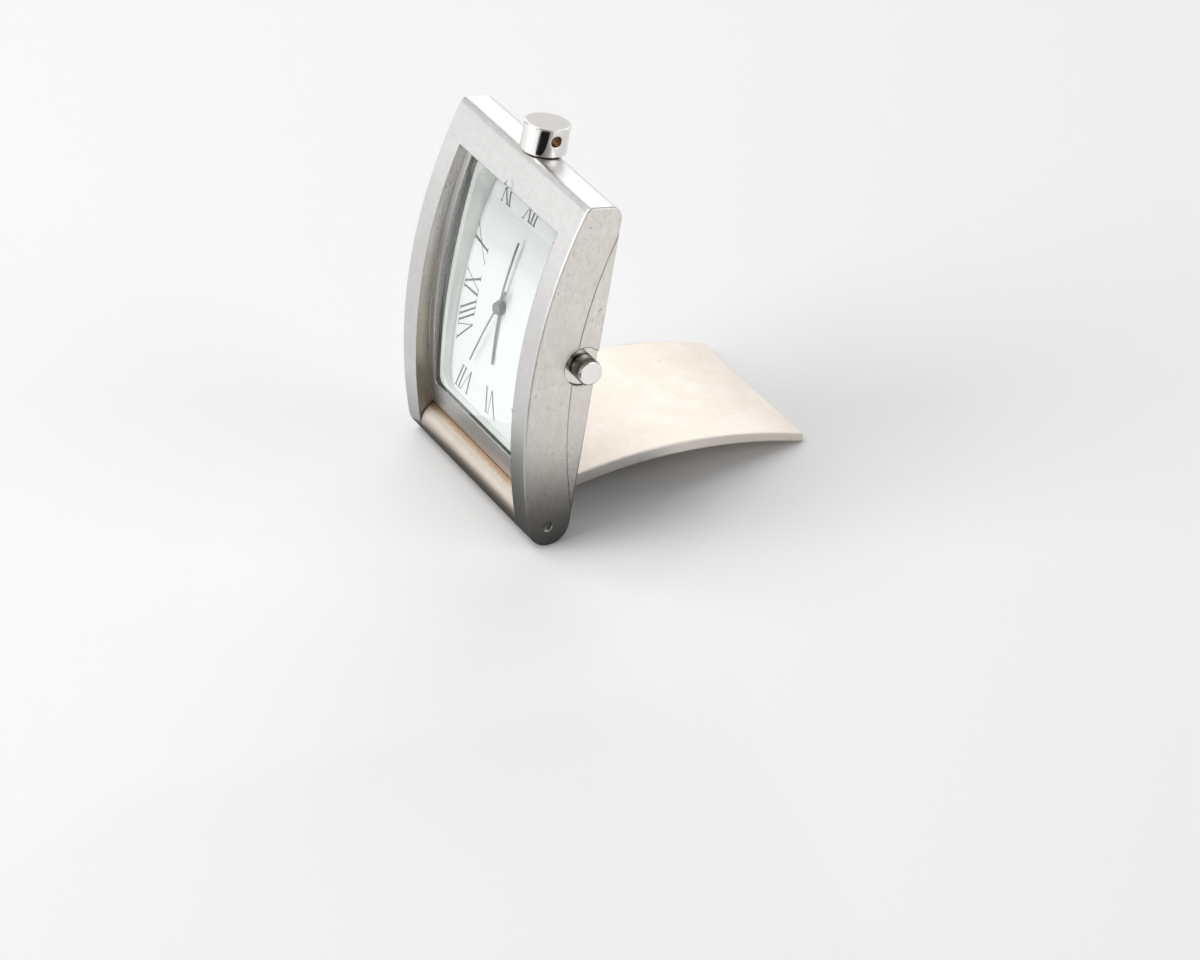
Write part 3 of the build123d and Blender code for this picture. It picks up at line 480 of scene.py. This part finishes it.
def cover_finish():
    """Warm satin plating with faint blotches, small marks and brighter worn edges, and its side edge
    painted lighter near the hinge and darker towards the far end as painted light.
    """
    metal = Finish("warm_satin_cover", Metallic=1.0)
    cloud = metal.mask(smudges, Scale=0.12, Softness=0.3)
    small_cloud = metal.mask(smudges, 0.3, Scale=0.6, Softness=0.3)
    fine = metal.mask(grain, Scale=6.0)
    marks = metal.mask(pits, 0.5, Scale=0.45, Share=0.1, Size=0.25)
    flecks = metal.mask(speckle, 0.18, Scale=1.6)
    worn = metal.mask(edges, 0.4, Width=0.0003)
    colour = metal.mix(cloud, (0.76, 0.685, 0.605, 1), (0.82, 0.765, 0.70, 1))
    colour = metal.mix(small_cloud, colour, (0.70, 0.62, 0.545, 1))
    # The side edge, painted lighter near the hinge and darker towards the far end: painted light
    rim = metal.mask(facing, Direction=crownward, Start=0.5, End=0.9)
    far_end = metal.mask(reach_along, Direction=backward, Start=12.0, End=32.0)
    rim_painted_light = metal.mix(far_end, (0.97, 0.93, 0.87, 1), (0.74, 0.69, 0.63, 1))
    colour = metal.mix(rim, colour, rim_painted_light)
    colour = metal.mix(flecks, colour, (0.42, 0.35, 0.30, 1))
    colour = metal.mix(marks, colour, (0.35, 0.28, 0.24, 1))
    colour = metal.mix(worn, colour, (0.88, 0.85, 0.80, 1))
    normal = metal.relief(fine, 0.25, 0.00003, metal.rounded(0.0003))
    metal.feed(Base_Color=colour, Roughness=metal.range(fine, 0.36, 0.48), Normal=normal)
    return metal.material


def barrel_finish():
    """The hinge barrel, where the cover's plating is worn to copper along its top, with painted shade below.
    """
    metal = Finish("worn_barrel_metal", Metallic=1.0)
    tree = metal.tree
    cloud = metal.mask(smudges, Scale=0.3, Softness=0.5)
    lines = metal.mask(brush, 0.18, Scale=3.0, Stretch=(0.12, 1.5, 1.5))
    fine = metal.mask(grain, Scale=5.0)
    flecks = metal.mask(speckle, 0.6, Scale=2.4)
    bits = metal.mask(smudges, Scale=5.0, Softness=0.45)
    patches = metal.mask(smudges, Scale=0.35, Softness=0.5)
    top = metal.mask(facing, Direction=(0, -0.30, 0.954), Start=0.80, End=0.99)
    # Painted shade on the underside
    under = metal.mask(facing, 0.7, Direction=(0, -0.45, -0.89), Start=-0.1, End=0.7)
    colour = metal.mix(cloud, (0.76, 0.69, 0.59, 1), (0.84, 0.775, 0.68, 1))
    colour = metal.mix(lines, colour, (0.58, 0.50, 0.42, 1))
    uneven = math_node(tree, "ADD", share_of(tree, bits, 0.9), share_of(tree, patches, 0.5))
    wear = spread(tree, math_node(tree, "ADD", top, uneven), 1.05, 1.65)
    wear = share_of(tree, wear, spread(tree, top, 0.05, 0.4))
    colour = metal.mix(share_of(tree, wear, 0.85), colour, (0.53, 0.33, 0.19, 1))
    fleck_share = share_of(tree, flecks, spread(tree, top, 0.0, 0.3, 0.4, 1.0))
    colour = metal.mix(fleck_share, colour, (0.17, 0.11, 0.07, 1))
    colour = metal.mix(under, colour, (0.22, 0.19, 0.165, 1))
    normal = metal.relief(fine, 0.4, 0.00004, metal.rounded(0.00012))
    metal.feed(Base_Color=colour, Roughness=metal.range(fine, 0.36, 0.50), Normal=normal)
    return metal.material


def chrome_finish(name, colour, dull, rough_low, rough_high, edge_radius, hollow):
    """Bright plating with faint finger marks, and painted shade in its corners and its hollow part.

    The hollow part is a place from axis_place, a radius in mm and the colour of its painted shade.
    It leaves out the face towards the crown's side.
    """
    metal = Finish(name, Metallic=1.0)
    cloud = metal.mask(smudges, Scale=0.5, Softness=0.4)
    fine = metal.mask(grain, Scale=7.0)
    # Painted shade in corners
    corner_shade = metal.mask(corners, 0.8, Reach=0.0008, Start=0.7, End=0.2)
    flecks = metal.mask(speckle, 0.25, Scale=3.0)
    tone = metal.mix(share_of(metal.tree, cloud, 0.3), colour, dull)
    tone = metal.mix(flecks, tone, (0.30, 0.27, 0.25, 1))
    tone = metal.mix(corner_shade, tone, (0.15, 0.085, 0.05, 1))
    # Painted shade in the hollow part: in the knob's ring hole and between the crown's flutes
    place, radius, hollow_shade_colour = hollow
    inside = metal.mask(round_part, Middle=place, Radius=radius)
    on_face = metal.mask(facing, Direction=crownward, Start=0.25, End=0.6)
    inside = share_of(metal.tree, inside, math_node(metal.tree, "SUBTRACT", 1.0, on_face))
    tone = metal.mix(inside, tone, hollow_shade_colour)
    rough = spread(metal.tree, cloud, 0.0, 1.0, rough_low, rough_high)
    normal = metal.relief(fine, 0.05, 0.00002, metal.rounded(edge_radius))
    metal.feed(Base_Color=tone, Roughness=rough, Normal=normal)
    return metal.material


def crystal_finish():
    """Clear polished faces, and a frosted rim where the edge is ground."""
    glass = Finish("crystal_glass", Metallic=0.0, Transmission_Weight=1.0, IOR=1.52)
    tree = glass.tree
    facing_back = vector_node(tree, "DOT_PRODUCT", own_facing(tree), backward)
    ground = spread(tree, math_node(tree, "ABSOLUTE", facing_back), 0.75, 0.55)
    flecks = spread(tree, glass.mask(grain, Scale=3.2), 0.40, 0.60)
    frost = glass.mix(flecks, (0.58, 0.63, 0.60, 1), (0.99, 1.0, 0.99, 1))
    tint = glass.mix(ground, (0.985, 0.995, 0.99, 1), frost)
    uneven = glass.relief(share_of(tree, flecks, ground), 0.8, 0.00008)
    glass.feed(Base_Color=tint, Roughness=share_of(tree, ground, 0.7), Normal=uneven)
    clear = tree.nodes.new("ShaderNodeBsdfTransparent")
    clear.inputs["Color"].default_value = (0.97, 0.98, 0.975, 1)
    path = tree.nodes.new("ShaderNodeLightPath")
    shadow_ray, diffuse_ray = path.outputs["Is Shadow Ray"], path.outputs["Is Diffuse Ray"]
    light_only = math_node(tree, "MAXIMUM", shadow_ray, diffuse_ray)
    choice = tree.nodes.new("ShaderNodeMixShader")
    tree.links.new(light_only, choice.inputs[0])
    tree.links.new(glass.shader.outputs[0], choice.inputs[1])
    tree.links.new(clear.outputs[0], choice.inputs[2])
    tree.links.new(choice.outputs[0], glass.output.inputs["Surface"])
    return glass.material


def painted_finish(name, light, dark, rough, occlusion_strength=0.0, strength=0.15):
    """Paint, lacquer, rubber or plastic with a faint mottle, and painted shade in its corners where asked.
    """
    coat = Finish(name)
    cloud = coat.mask(smudges, Scale=0.3, Softness=0.5)
    fine = coat.mask(grain, Scale=4.0)
    colour = coat.mix(cloud, light, dark)
    if occlusion_strength:
        # Painted shade in corners
        corner_shade = coat.mask(corners, occlusion_strength, Reach=0.00035, Start=0.75, End=0.35)
        colour = coat.mix(corner_shade, colour, (0.10, 0.115, 0.105, 1))
    roughness = coat.range(fine, rough * 0.85, rough * 1.15)
    coat.feed(Base_Color=colour, Roughness=roughness, Normal=coat.relief(fine, strength, 0.00003))
    return coat.material


def hand_finish():
    """Grey satin hands, turned in fine rings round the hub."""
    metal = Finish("grey_satin_hands", Metallic=0.6)
    tree = metal.tree
    from_hub = vector_node(tree, "SUBTRACT", object_mm(tree), (0, 0, hub_height / MM))
    flat = vector_node(tree, "MULTIPLY", from_hub, (1, 0, 1))
    waves = tree.nodes.new("ShaderNodeTexWave")
    waves.wave_type = "RINGS"
    waves.rings_direction = "SPHERICAL"
    tree.links.new(flat, waves.inputs["Vector"])
    waves.inputs["Scale"].default_value = 1.4
    waves.inputs["Distortion"].default_value = 0.3
    rings = waves.outputs["Fac"]
    colour = metal.mix(rings, (0.13, 0.133, 0.133, 1), (0.26, 0.262, 0.26, 1))
    metal.feed(Base_Color=colour, Roughness=0.36, Normal=metal.relief(rings, 0.25, 0.00002))
    return metal.material


def machined_finish(name, light, dark, rough, stretch=(1, 1, 1), occlusion_reach=0.0005):
    """Bare metal inside the case: turned or stamped, with fine tool lines and painted shade in its corners.
    """
    metal = Finish(name, Metallic=1.0)
    tree = metal.tree
    lines = metal.mask(brush, Scale=4.0, Stretch=stretch)
    worn = metal.mask(edges, 0.4, Width=0.00008)
    # Painted shade in corners
    corner_shade = metal.mask(corners, 0.85, Reach=occlusion_reach, Start=0.8, End=0.4)
    colour = metal.mix(worn, metal.mix(lines, light, dark), light)
    colour = metal.mix(corner_shade, colour, (0.08, 0.07, 0.06, 1))
    roughness = spread(tree, lines, 0.0, 1.0, rough * 0.8, rough * 1.2)
    metal.feed(Base_Color=colour, Roughness=roughness, Normal=metal.relief(lines, 0.2, 0.00001))
    return metal.material


def coil_finish():
    """Fine copper wire wound side by side, with its varnish."""
    wire = Finish("varnished_copper_wire", Metallic=1.0, Coat_Weight=0.5)
    tree = wire.tree
    waves = tree.nodes.new("ShaderNodeTexWave")
    waves.bands_direction = "Z"
    tree.links.new(object_mm(tree), waves.inputs["Vector"])
    waves.inputs["Scale"].default_value = 3.2
    waves.inputs["Distortion"].default_value = 0.15
    cloud = wire.mask(smudges, 0.3, Scale=0.8, Softness=0.4)
    turns = waves.outputs["Fac"]
    colour = wire.mix(turns, (0.30, 0.10, 0.04, 1), (0.80, 0.38, 0.20, 1))
    colour = wire.mix(cloud, colour, (0.55, 0.22, 0.10, 1))
    wire.feed(Base_Color=colour, Roughness=0.28, Normal=wire.relief(turns, 0.6, 0.00004))
    return wire.material


def board_finish():
    """Green board with copper tracks under the varnish."""
    board = Finish("circuit_board_varnish", Coat_Weight=0.6)
    tree = board.tree
    tracks = tree.nodes.new("ShaderNodeTexBrick")
    tree.links.new(object_mm(tree), tracks.inputs["Vector"])
    tracks.inputs["Scale"].default_value = 1.6
    tracks.inputs["Mortar Size"].default_value = 0.06
    tracks.inputs["Color1"].default_value = (0.02, 0.13, 0.05, 1)
    tracks.inputs["Color2"].default_value = (0.03, 0.17, 0.07, 1)
    tracks.inputs["Mortar"].default_value = (0.10, 0.30, 0.12, 1)
    cloud = board.mask(smudges, 0.3, Scale=0.5, Softness=0.4)
    colour = board.mix(cloud, tracks.outputs["Color"], (0.02, 0.09, 0.04, 1))
    normal = board.relief(tracks.outputs["Fac"], 0.3, 0.00003)
    board.feed(Base_Color=colour, Roughness=0.35, Normal=normal)
    return board.material


case_metal = case_finish()
chrome = chrome_finish(
    "polished_chrome", (0.84, 0.82, 0.80, 1), (0.74, 0.70, 0.68, 1), 0.02, 0.05, 0.00035,
    (ring_hole_place, ring_hole["dims"]["r_mm"] + hole_margin, (0.54, 0.43, 0.35, 1)))
crown_metal = chrome_finish(
    "polished_crown", (0.92, 0.905, 0.87, 1), (0.78, 0.76, 0.72, 1), 0.08, 0.14, 0.00002,
    (crown_place, flute_floor, (0.30, 0.28, 0.25, 1)))
brass = machined_finish("gilt_brass", (0.80, 0.62, 0.32, 1), (0.66, 0.48, 0.22, 1), 0.28)
steel = machined_finish("plain_steel", (0.62, 0.61, 0.60, 1), (0.42, 0.42, 0.42, 1), 0.30)
pin_steel = machined_finish(
    "pin_steel", (0.85, 0.84, 0.82, 1), (0.30, 0.29, 0.27, 1), 0.22, occlusion_reach=0.0003)
rubber = painted_finish("gasket_rubber", grey(0.025), grey(0.045), 0.6)
plastic = painted_finish("holder_plastic", (0.78, 0.78, 0.75, 1), (0.70, 0.70, 0.67, 1), 0.45)
dial_paint = painted_finish(
    "dial_white_paint", (0.945, 0.955, 0.96, 1), (0.925, 0.94, 0.945, 1), 0.42,
    occlusion_strength=0.75, strength=0.05)
ring_paint = painted_finish("dial_ring_paint", (0.90, 0.925, 0.89, 1), (0.83, 0.86, 0.82, 1), 0.5)
print_ink = painted_finish("numeral_ink", (0.050, 0.055, 0.056, 1), (0.07, 0.075, 0.076, 1), 0.5)
chip_resin = painted_finish("black_chip_resin", grey(0.02), grey(0.035), 0.4)
finishes = {
    "case_frame": case_metal,
    "rear_cover": case_metal,
    "cover_stand": cover_finish(),
    "hinge_barrel": barrel_finish(),
    "keyring_knob": chrome,
    "crown": crown_metal,
    "crystal": crystal_finish(),
    "dial": dial_paint,
    "dial_ring": ring_paint,
    "coil": coil_finish(),
    "circuit_board": board_finish(),
    "timing_chip": chip_resin,
    "movement_holder": plastic,
    "hinge_pin": pin_steel,
    **dict.fromkeys(("hour_hand", "minute_hand", "seconds_hand"), hand_finish()),
    **dict.fromkeys(("rear_cover_gasket", "crystal_gasket", "crown_gasket"), rubber),
    **dict.fromkeys(("main_plate", "train_bridge", "intermediate_wheel", "third_wheel"), brass),
    **dict.fromkeys(("seconds_wheel", "centre_wheel", "minute_wheel", "hour_wheel"), brass),
}
for name, node in nodes.items():
    node.data.materials.clear()
    node.data.materials.append(finishes.get(name, steel))


# Numerals printed on the dial, all sizes in mm

band_side = (7.05, 11.15)       # numerals stand between these distances from the centre, at the sides
band_end = (11.45, 15.2)        # and above and below
print_turn = math.radians(2.0)  # the print sits turned a little anticlockwise
stem, hair, serif_high, serif_out = 0.30, 0.11, 0.09, 0.20
letter_gap = 0.42
stem_pitch = 0.87
ink_high = 0.02
serif_front = 1.1 * ink_high    # serifs lie a little prouder than the strokes they cross
side_share = 0.8                # numerals further out than this share of the radius stand at the sides
letter_width = {"I": 0.0, "V": 1.95, "X": 1.7}
print_nudge = {1: 1.0, 2: 0.35, 3: 0.3, 4: 0.3, 6: 0.3, 11: -0.2}      # shift to the right, by hour
hour_words = ("XII", "I", "II", "III", "IIII", "V", "VI", "VII", "VIII", "IX", "X", "XI")
hour_degrees = 360 / len(hour_words)


def letters_of(text):
    """Strokes of a numeral along its reading direction.

    Each is its foot, its top, its width and whether it has a serif at its foot and at its top.
    """
    strokes = []
    at = 0.0
    before = None
    for letter in text:
        if before == "I" and letter == "I":
            at += stem_pitch
        elif before is not None:
            at += letter_gap + stem / 2
        wide = letter_width[letter]
        if letter == "I":
            strokes.append((at, at, stem, True, True))
        elif letter == "V":
            strokes.append((at + wide / 2, at, stem, False, True))
            strokes.append((at + wide / 2, at + wide, hair, False, True))
        else:
            strokes.append((at + wide, at, stem, True, True))
            strokes.append((at, at + wide, hair, True, True))
        at += wide
        before = letter
    return [(foot - at / 2, top - at / 2, wide, low, high) for foot, top, wide, low, high in strokes]


def prism(mesh, outline, front, back):
    """A thin flat prism on the dial, with its face at one depth and its root at another."""
    turn = Matrix.Rotation(print_turn, 2)
    turned = [turn @ Vector(corner) for corner in outline]
    rings = [[mesh.verts.new(own_place(x, depth, z)) for x, z in turned] for depth in (front, back)]
    mesh.faces.new(rings[0])
    mesh.faces.new(list(reversed(rings[1])))
    count = len(outline)
    for first in range(count):
        second = (first + 1) % count
        mesh.faces.new((rings[0][first], rings[1][first], rings[1][second], rings[0][second]))


def print_numerals():
    """The hour numerals as thin raised ink, feet towards the hub."""
    front = depth_of("dial")[0] / MM
    mesh = bmesh.new()
    for hour, text in enumerate(hour_words):
        angle = math.radians(hour_degrees * hour)
        out = Vector((math.sin(angle), math.cos(angle)))
        on_side = abs(out.x) > side_share
        near, far = band_side if on_side else band_end
        main = out.x if on_side else out.y
        toward = math.copysign(1, main)
        slope = (out.y if on_side else out.x) / abs(main)
        reading = -toward if on_side else toward

        def at(along, share):
            """A point of the numeral, by its reading direction and its share of the height."""
            distance = near + (far - near) * share
            across = slope * distance + reading * along
            right, up = (toward * distance, across) if on_side else (across, toward * distance)
            return right + print_nudge.get(hour, 0.0), up

        def band(ends, half_width):
            """The outline of a stroke between two places along the reading direction."""
            (first, low), (second, high) = ends
            return [at(first - half_width, low), at(first + half_width, low),
                    at(second + half_width, high), at(second - half_width, high)]

        high = serif_high / (far - near)
        for foot, top, wide, low_serif, top_serif in letters_of(text):
            prism(mesh, band(((foot, 0), (top, 1)), wide / 2), front - ink_high, front + ink_high)
            reach = wide / 2 + serif_out
            if low_serif:
                low_end = band(((foot, 0), (foot, high)), reach)
                prism(mesh, low_end, front - serif_front, front + ink_high)
            if top_serif:
                top_end = band(((top, 1), (top, 1 - high)), reach)
                prism(mesh, top_end, front - serif_front, front + ink_high)
    bmesh.ops.recalc_face_normals(mesh, faces=mesh.faces)
    data = bpy.data.meshes.new("numerals")
    mesh.to_mesh(data)
    mesh.free()
    data.materials.append(print_ink)
    piece = bpy.data.objects.new("numerals", data)
    bpy.context.scene.collection.objects.link(piece)
    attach(piece, "case")


print_numerals()


# Studio: floor, air, soft boxes and camera

floor_size = 6.0
middle_of_watch = Vector((0, 0, 0.025))
low_air = 1.0                   # brightness of the air near the floor, where white is 1
high_air = 0.25                 # and overhead
low_rise, high_rise = 0.12, 0.45
room_side = Vector((0.64, -0.52, 0.57)).normalized()
room_air = 0.15                 # brightness of the dim side of the room
room_start, room_end = 0.86, 0.96                       # it fades in between these cosines
under_height, in_front_height = 0.0002, 0.0006          # of the dark cards above the floor
under_corners = ((-0.0075, -0.056), (0.043, -0.027), (0.026, 0.004), (-0.032, 0.004))
in_front_corners = ((-67, 0.10), (-67, 0.36), (-13, 0.36), (-13, 0.06))     # degrees and metres


def flat_sheet(name, corners_of_sheet, material):
    """A sheet of the studio, which isn't part of the watch."""
    data = bpy.data.meshes.new(name)
    data.from_pydata(corners_of_sheet, [], [(0, 1, 2, 3)])
    data.materials.append(material)
    sheet = bpy.data.objects.new(name, data)
    bpy.context.scene.collection.objects.link(sheet)
    return sheet


def build_floor():
    """A plain pale floor that runs out of sight."""
    half = floor_size / 2
    paper = Finish("pale_paper", Roughness=0.6)
    tone = paper.mask(smudges, Scale=0.003, Softness=0.6)
    paper.feed(Base_Color=paper.mix(tone, grey(0.965), (0.97, 0.97, 0.975, 1)))
    corners_of_floor = [(-half, -half, 0), (half, -half, 0), (half, half, 0), (-half, half, 0)]
    flat_sheet("floor", corners_of_floor, paper.material)


def build_dark_card(name, corners_of_card, tone):
    """A dark card on the floor that only metal and glass mirror, to give them contrast."""
    card = Finish(name, Roughness=0.7, Specular_IOR_Level=0.0)
    patches = card.mask(smudges, Scale=0.01, Softness=0.5)
    card.feed(Base_Color=card.mix(patches, grey(tone), grey(1.3 * tone)))
    sheet = flat_sheet(name, corners_of_card, card.material)
    sheet.visible_camera = False
    sheet.visible_diffuse = False
    sheet.visible_shadow = False
    sheet.visible_transmission = False


def build_dark_cards():
    """One card under the watch and a darker one before it."""
    under = [(x, y, under_height) for x, y in under_corners]
    build_dark_card("dark_card_under", under, 0.12)
    in_front = []
    for turn, distance in in_front_corners:
        angle = math.radians(turn)
        in_front.append((distance * math.cos(angle), distance * math.sin(angle), in_front_height))
    build_dark_card("dark_card_in_front", in_front, 0.012)


def build_air():
    """White near the floor, softer overhead, and dim on one side, as in a room with white screens."""
    world = bpy.data.worlds.new("studio_air")
    bpy.context.scene.world = world
    world.use_nodes = True
    tree = world.node_tree
    direction = tree.nodes.new("ShaderNodeTexCoord").outputs["Generated"]
    height = parts_of(tree, direction)["Z"]
    toward_room = vector_node(tree, "DOT_PRODUCT", direction, room_side)
    room_shade = spread(tree, toward_room, room_start, room_end, 1.0, room_air, smooth=True)
    screens = spread(tree, height, low_rise, high_rise, low_air, high_air, smooth=True)
    air = tree.nodes["Background"]
    air.inputs["Color"].default_value = (1, 1, 1, 1)
    tree.links.new(share_of(tree, screens, room_shade), air.inputs["Strength"])


def soft_box(name, place, size, brightness):
    """A soft box aimed at the watch, by its brightness, where white is 1."""
    data = bpy.data.lights.new(name, "AREA")
    data.shape = "RECTANGLE"
    data.size, data.size_y = size
    data.energy = brightness * math.pi * size[0] * size[1]
    lamp = bpy.data.objects.new(name, data)
    bpy.context.scene.collection.objects.link(lamp)
    lamp.location = place
    lamp.rotation_mode = "QUATERNION"
    lamp.rotation_quaternion = (Vector(place) - middle_of_watch).to_track_quat("Z", "Y")


def build_camera():
    """The camera of the main view."""
    data = bpy.data.cameras.new("camera")
    data.sensor_width = 36
    data.lens = 157.8725
    data.clip_start = 0.01
    data.clip_end = 20
    camera = bpy.data.objects.new("camera", data)
    bpy.context.scene.collection.objects.link(camera)
    camera.rotation_mode = "QUATERNION"
    camera.rotation_quaternion = Quaternion((0.754887959, 0.396661681, 0.279029914, 0.441526883))
    camera.location = (0.566425671, -0.261596127, 0.383994183)
    bpy.context.scene.camera = camera


build_floor()
build_dark_cards()
build_air()
soft_box("overhead_box", (-0.28, -0.30, 0.85), (0.6, 0.6), 3.0)
soft_box("front_box", (-0.15, -0.65, 0.40), (0.5, 0.5), 3.0)
soft_box("back_left_box", (-0.62, 0.45, 0.43), (0.6, 0.35), 1.9)
soft_box("right_box", (0.60, 0.45, 0.40), (0.5, 0.4), 1.9)
soft_box("low_right_box", (0.30, -0.60, 0.13), (0.25, 0.18), 1.4)
build_camera()
bpy.context.scene.view_settings.view_transform = "Standard"
